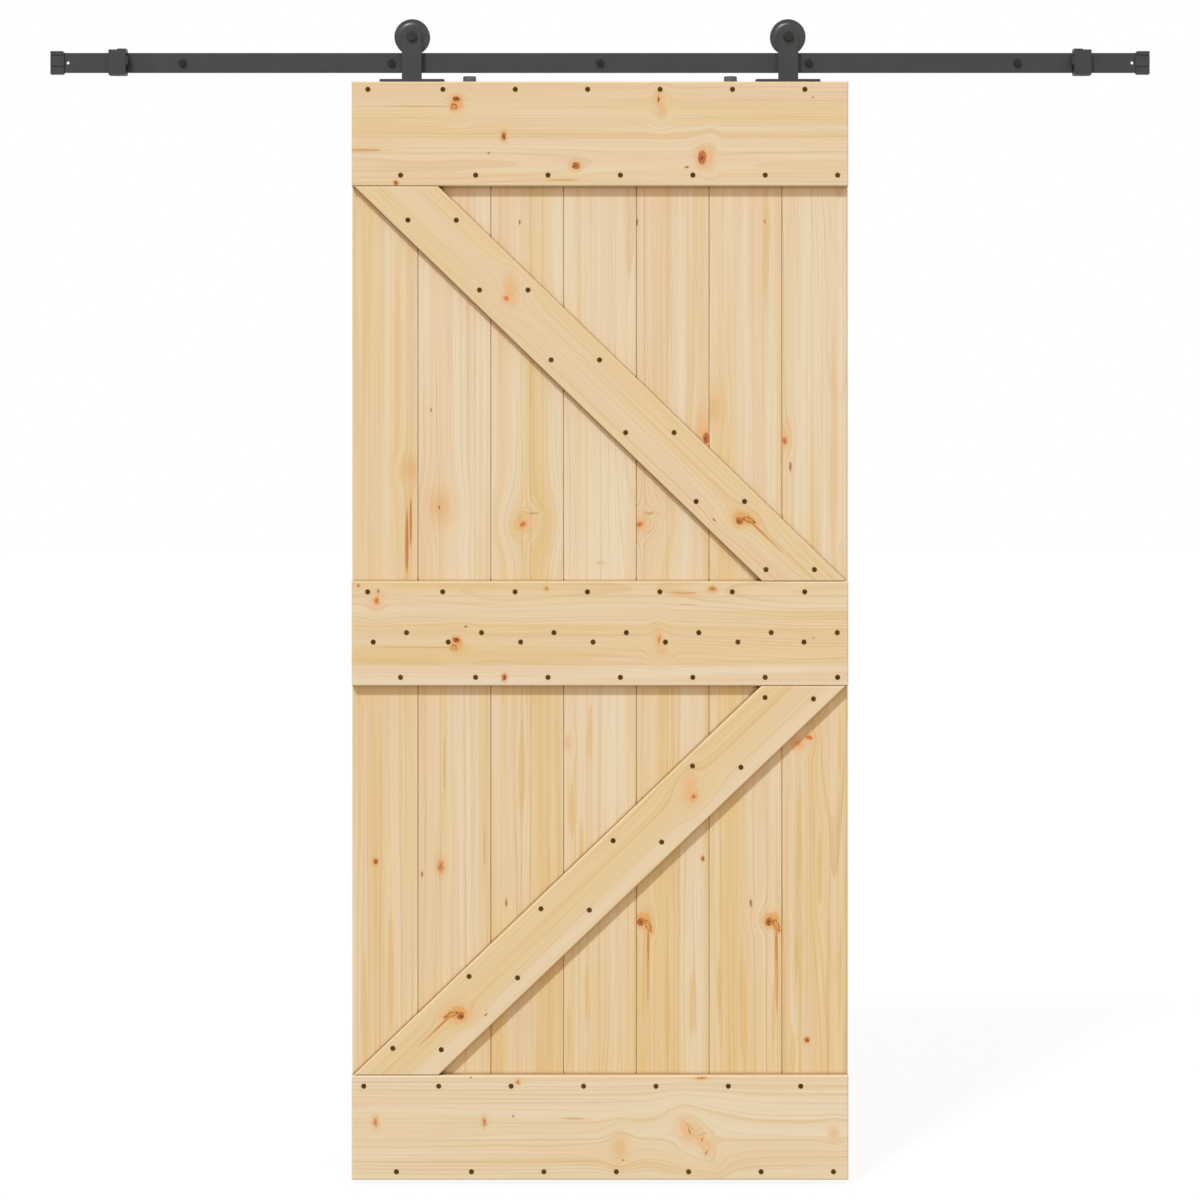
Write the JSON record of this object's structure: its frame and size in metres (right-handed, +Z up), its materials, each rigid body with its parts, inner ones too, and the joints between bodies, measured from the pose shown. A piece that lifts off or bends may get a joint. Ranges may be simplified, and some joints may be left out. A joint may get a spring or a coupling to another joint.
{
  "type": "sliding barn door with wall track",
  "caption": "Boarded pine door with rails and diagonal braces, hung by two wheeled strap hangers from a flat steel wall track with end stops, along which it slides.",
  "frame": {"origin": "centre of the middle wall spacer's back face, on the wall plane and on the track's centre line", "axes": "+X to the right seen from the room, +Y into the wall, +Z up"},
  "size_m": [2.1064, 0.1019, 2.2208],
  "materials": {
    "pine_board": "planed knotty pine, unfinished, grain upright",
    "pine_rail": "planed knotty pine, unfinished, grain along the piece",
    "track_steel": "dark grey satin powder coat",
    "hanger_steel": "dark grey satin powder coat",
    "wheel_steel": "dark grey turned steel, satin",
    "bolt_steel": "blackened steel",
    "bearing_steel": "ground steel",
    "spacer_steel": "dark grey satin powder coat",
    "cap_plastic": "moulded dark grey plastic",
    "disc_plastic": "moulded mid grey plastic",
    "bumper_rubber": "black rubber"
  },
  "bodies": {
    "track": {"track_bar": "track_steel", "wall_spacer_1": "spacer_steel", "wall_bolt_1": "bolt_steel", "wall_spacer_2": "spacer_steel", "wall_bolt_2": "bolt_steel", "wall_spacer_3": "spacer_steel", "wall_bolt_3": "bolt_steel", "wall_spacer_4": "spacer_steel", "wall_bolt_4": "bolt_steel", "wall_spacer_5": "spacer_steel", "wall_bolt_5": "bolt_steel", "end_stop_left": "track_steel", "stop_bumper_left": "bumper_rubber", "end_cap_left": "cap_plastic", "end_stop_right": "track_steel", "stop_bumper_right": "bumper_rubber", "end_cap_right": "cap_plastic"},
    "door": {"board_1": "pine_board", "board_2": "pine_board", "board_3": "pine_board", "board_4": "pine_board", "board_5": "pine_board", "board_6": "pine_board", "board_7": "pine_board", "top_rail": "pine_rail", "middle_rail": "pine_rail", "bottom_rail": "pine_rail", "upper_brace": "pine_rail", "lower_brace": "pine_rail", "hanger_left": "hanger_steel", "axle_bolt_left": "bolt_steel", "axle_collar_left": "spacer_steel", "axle_nut_left": "bolt_steel", "anti_jump_disc_left": "disc_plastic", "hanger_right": "hanger_steel", "axle_bolt_right": "bolt_steel", "axle_collar_right": "spacer_steel", "axle_nut_right": "bolt_steel", "anti_jump_disc_right": "disc_plastic"},
    "wheel_left": {"wheel_left": "wheel_steel", "bearing_left": "bearing_steel"},
    "wheel_right": {"wheel_right": "wheel_steel", "bearing_right": "bearing_steel"}
  },
  "joints": [
    {"name": "door_slide", "type": "slide", "parent": "track", "child": "door", "axis": [1, 0, 0], "range_m": [-0.517, 0.517]},
    {"name": "wheel_left_spin", "type": "hinge", "parent": "door", "child": "wheel_left", "pos_m": [-0.36, -0.033, 0.0493], "axis": [0, 1, 0], "continuous": true},
    {"name": "wheel_right_spin", "type": "hinge", "parent": "door", "child": "wheel_right", "pos_m": [0.36, -0.033, 0.0493], "axis": [0, 1, 0], "continuous": true}
  ],
  "couplings": [
    {"joint": "wheel_left_spin", "follows": "door_slide", "rad_per_m": 33.333},
    {"joint": "wheel_right_spin", "follows": "door_slide", "rad_per_m": 33.333}
  ]
}
